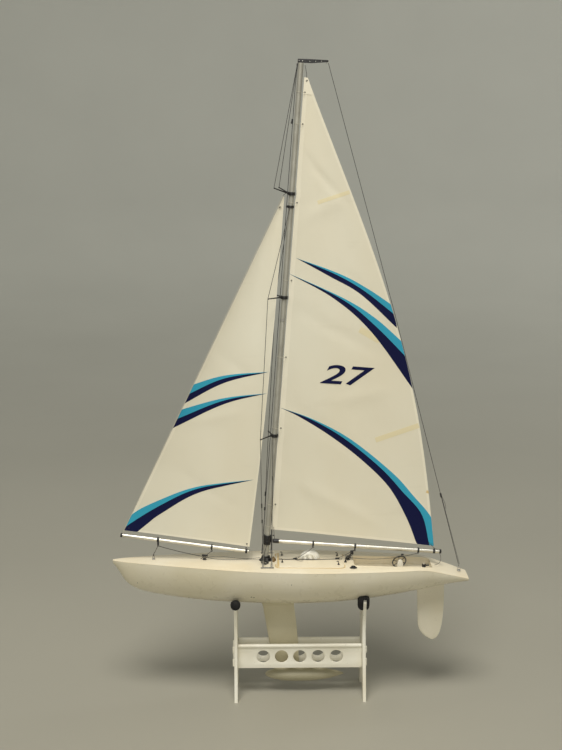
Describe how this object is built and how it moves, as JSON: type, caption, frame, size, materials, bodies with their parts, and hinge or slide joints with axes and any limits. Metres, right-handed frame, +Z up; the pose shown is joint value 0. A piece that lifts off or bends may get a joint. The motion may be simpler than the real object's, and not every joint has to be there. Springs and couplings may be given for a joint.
{
  "type": "model sailing ship",
  "caption": "Radio-controlled racing sloop with a fin keel and ballast bulb, swinging booms with two sails, and a steerable rudder, resting on a holed plate stand.",
  "frame": {"origin": "on the floor under the middle of the hull, on its centre plane", "axes": "+X towards the stern, +Y to starboard, +Z up"},
  "size_m": [0.776, 0.172, 1.3752],
  "materials": {
    "stand_plastic": "satin",
    "foam": "matt",
    "hull": "gloss",
    "deck": "satin",
    "foils": "satin",
    "ballast": "satin",
    "steel": "satin",
    "white_plastic": "satin",
    "black_plastic": "satin",
    "rubber": "matt",
    "mast_alloy": "anodised",
    "boom_alloy": "polished",
    "rigging_line": "braided",
    "sheet_line": "braided",
    "sailcloth": "cloth",
    "sail_navy": "film",
    "sail_turquoise": "film"
  },
  "bodies": {
    "stand": {"stand_plate_fore": "stand_plastic", "stand_plate_aft": "stand_plastic", "stand_rail_port": "stand_plastic", "stand_rail_starboard": "stand_plastic", "stand_pad_fore_port": "foam", "stand_pad_fore_starboard": "foam", "stand_pad_aft_port": "foam", "stand_pad_aft_starboard": "foam"},
    "boat": {"hull_shell": "hull", "deck_shell": "deck", "keel_fin": "foils", "keel_bulb": "ballast", "keel_bolt": "steel", "rudder_tube": "steel", "servo_tray": "white_plastic", "rudder_servo": "black_plastic", "winch_servo": "black_plastic", "battery_pack": "black_plastic", "radio_receiver": "black_plastic", "mast_step": "black_plastic", "jib_pivot_eye": "steel", "jib_sheet_eye": "steel", "main_sheet_eye": "black_plastic", "stern_eye": "steel", "switch_boot": "rubber", "helm_pedestal": "white_plastic", "mast_lower": "mast_alloy", "mast_upper": "mast_alloy", "mast_joiner": "steel", "masthead_crane": "black_plastic", "boom_stop_collar": "black_plastic", "lower_spreader": "mast_alloy", "upper_spreader": "mast_alloy", "jumper_spreader": "mast_alloy", "chainplate_port": "steel", "chainplate_starboard": "steel", "upper_shroud_port": "rigging_line", "upper_shroud_starboard": "rigging_line", "lower_shroud_port": "rigging_line", "lower_shroud_starboard": "rigging_line", "jumper_stays": "rigging_line", "backstay": "rigging_line"},
    "hatch": {"hatch_cover": "deck", "companion_cowl": "white_plastic"},
    "main_boom": {"boom_socket": "black_plastic", "main_boom_tube": "boom_alloy", "main_boom_end": "black_plastic", "mainsail": "sailcloth", "outhaul_tail": "sheet_line"},
    "jib_boom": {"jib_boom_tube": "boom_alloy", "jib_boom_nose": "black_plastic", "jib_pivot_link": "black_plastic", "jib_sheet_band": "black_plastic", "jib_sail": "sailcloth"},
    "rudder": {"rudder_blade": "foils", "tiller_arm": "black_plastic"},
    "pushrod": {"rudder_pushrod": "steel"},
    "steering_arm": {"servo_arm": "white_plastic"},
    "winch": {"winch_arm": "white_plastic"},
    "helm": {"steering_wheel": "black_plastic"}
  },
  "joints": [
    {"name": "boat_lift", "type": "slide", "parent": "stand", "child": "boat", "axis": [0, 0, 1], "range_m": [0, 0.25]},
    {"name": "hatch_lift", "type": "slide", "parent": "boat", "child": "hatch", "axis": [0, 0, 1], "range_m": [0, 0.012]},
    {"name": "main_boom_swing", "type": "hinge", "parent": "boat", "child": "main_boom", "pos_m": [-0.0539, 0, 0.3035], "axis": [0.0727, 0, 0.9974], "range_deg": [-60, 60]},
    {"name": "jib_boom_swing", "type": "hinge", "parent": "boat", "child": "jib_boom", "pos_m": [-0.299, 0, 0.309], "axis": [0.346, 0, 0.9382], "range_deg": [-50, 50]},
    {"name": "rudder_turn", "type": "hinge", "parent": "boat", "child": "rudder", "pos_m": [0.293, 0, 0.26], "axis": [0, 0, 1], "range_deg": [-30, 30]},
    {"name": "steering_arm_turn", "type": "hinge", "parent": "boat", "child": "steering_arm", "pos_m": [0.09, 0, 0.285], "axis": [0, 0, 1], "range_deg": [-30, 30]},
    {"name": "pushrod_pin", "type": "hinge", "parent": "rudder", "child": "pushrod", "pos_m": [0.293, -0.02, 0.2877], "axis": [0, 0, 1], "range_deg": [-30, 30]},
    {"name": "winch_arm_turn", "type": "hinge", "parent": "boat", "child": "winch", "pos_m": [0.022, 0, 0.28], "axis": [0, 0, 1], "range_deg": [-50, 50]},
    {"name": "wheel_turn", "type": "hinge", "parent": "boat", "child": "helm", "pos_m": [0.239, 0.0015, 0.296], "axis": [-0.3402, -0.4503, 0.8255], "range_deg": [-170, 170]}
  ],
  "couplings": [
    {"joint": "steering_arm_turn", "follows": "rudder_turn", "ratio": 1},
    {"joint": "pushrod_pin", "follows": "rudder_turn", "ratio": -1}
  ]
}
